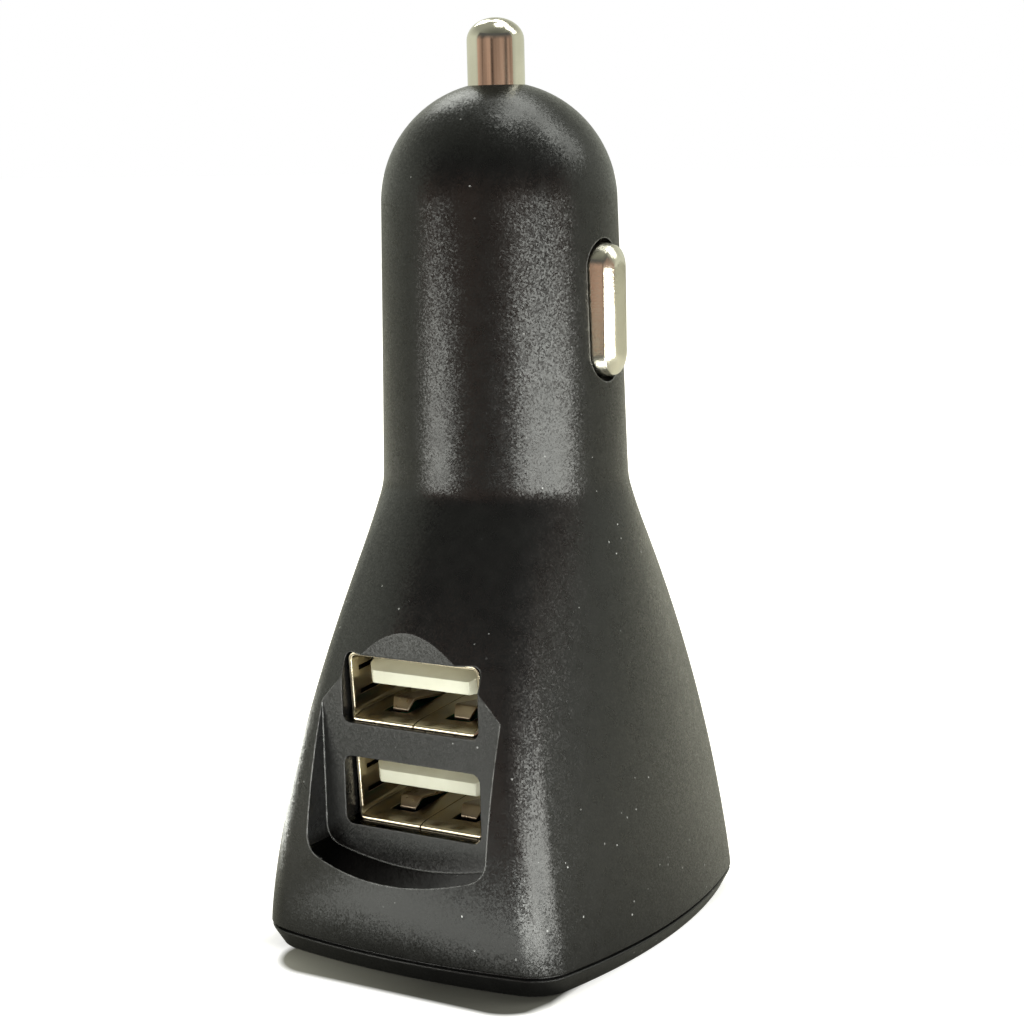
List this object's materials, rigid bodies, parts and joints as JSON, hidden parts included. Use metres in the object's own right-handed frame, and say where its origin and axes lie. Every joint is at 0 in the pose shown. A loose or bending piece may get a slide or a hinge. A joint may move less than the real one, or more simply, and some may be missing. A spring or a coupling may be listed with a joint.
{
  "type": "car usb charger plug",
  "caption": "Plug for a car's round accessory socket, with a sprung nose pin, sprung side contacts and USB ports in the flared handle, to power or charge small devices.",
  "frame": {"origin": "on the plug's long axis, at the foot of the end cap that the object stands on", "axes": "+Z along the plug's axis towards the nose pin, -Y towards the USB ports, side contacts at +X and -X"},
  "size_m": [0.034, 0.0379, 0.0788],
  "materials": {
    "housing_plastic": "black, fine spark-eroded grain, satin sheen",
    "cap_plastic": "black, fine grain, satin sheen",
    "contact_plating": "nickel plating, bright and slightly warm",
    "spring_steel": "drawn wire, satin",
    "brass": "turned, satin",
    "port_steel": "nickel-plated sheet, satin",
    "port_insulator": "off-white moulding, satin",
    "contact_strip": "thin gold plating, bright",
    "circuit_board": "green solder mask, glossy",
    "ferrite": "sintered, dull dark grey",
    "copper_wire": "enamelled copper wire, glossy",
    "capacitor_can": "printed sleeve on an aluminium can",
    "component_body": "black moulding, dull",
    "component_ceramic": "ceramic with tinned ends"
  },
  "bodies": {
    "housing": {"body_shell": "housing_plastic", "end_cap": "cap_plastic", "pin_spring": "spring_steel", "pin_seat": "brass", "side_spring_right": "spring_steel", "side_spring_left": "spring_steel", "usb_shell_upper": "port_steel", "usb_shell_lower": "port_steel", "usb_insulator_upper": "port_insulator", "usb_insulator_lower": "port_insulator", "usb_contacts_upper": "contact_strip", "usb_contacts_lower": "contact_strip", "port_board": "circuit_board", "main_board": "circuit_board", "inductor_core": "ferrite", "inductor_winding": "copper_wire", "input_capacitor": "capacitor_can", "output_capacitor": "capacitor_can", "converter_chip": "component_body", "diode": "component_body", "board_fuse": "component_ceramic", "chip_capacitors": "component_ceramic"},
    "center_pin": {"center_pin": "contact_plating"},
    "side_contact_right": {"side_contact_right": "contact_plating"},
    "side_contact_left": {"side_contact_left": "contact_plating"}
  },
  "joints": [
    {"name": "center_pin_slide", "type": "slide", "parent": "housing", "child": "center_pin", "axis": [0, 0, -1], "range_m": [0, 0.0025], "stiffness_N_per_m": 400, "springref_m": -0.004, "deforming": ["pin_spring"]},
    {"name": "side_contact_right_slide", "type": "slide", "parent": "housing", "child": "side_contact_right", "axis": [-1, 0, 0], "range_m": [0, 0.0013], "stiffness_N_per_m": 300, "springref_m": -0.003, "deforming": ["side_spring_right"]},
    {"name": "side_contact_left_slide", "type": "slide", "parent": "housing", "child": "side_contact_left", "axis": [1, 0, 0], "range_m": [0, 0.0013], "stiffness_N_per_m": 300, "springref_m": -0.003, "deforming": ["side_spring_left"]}
  ]
}
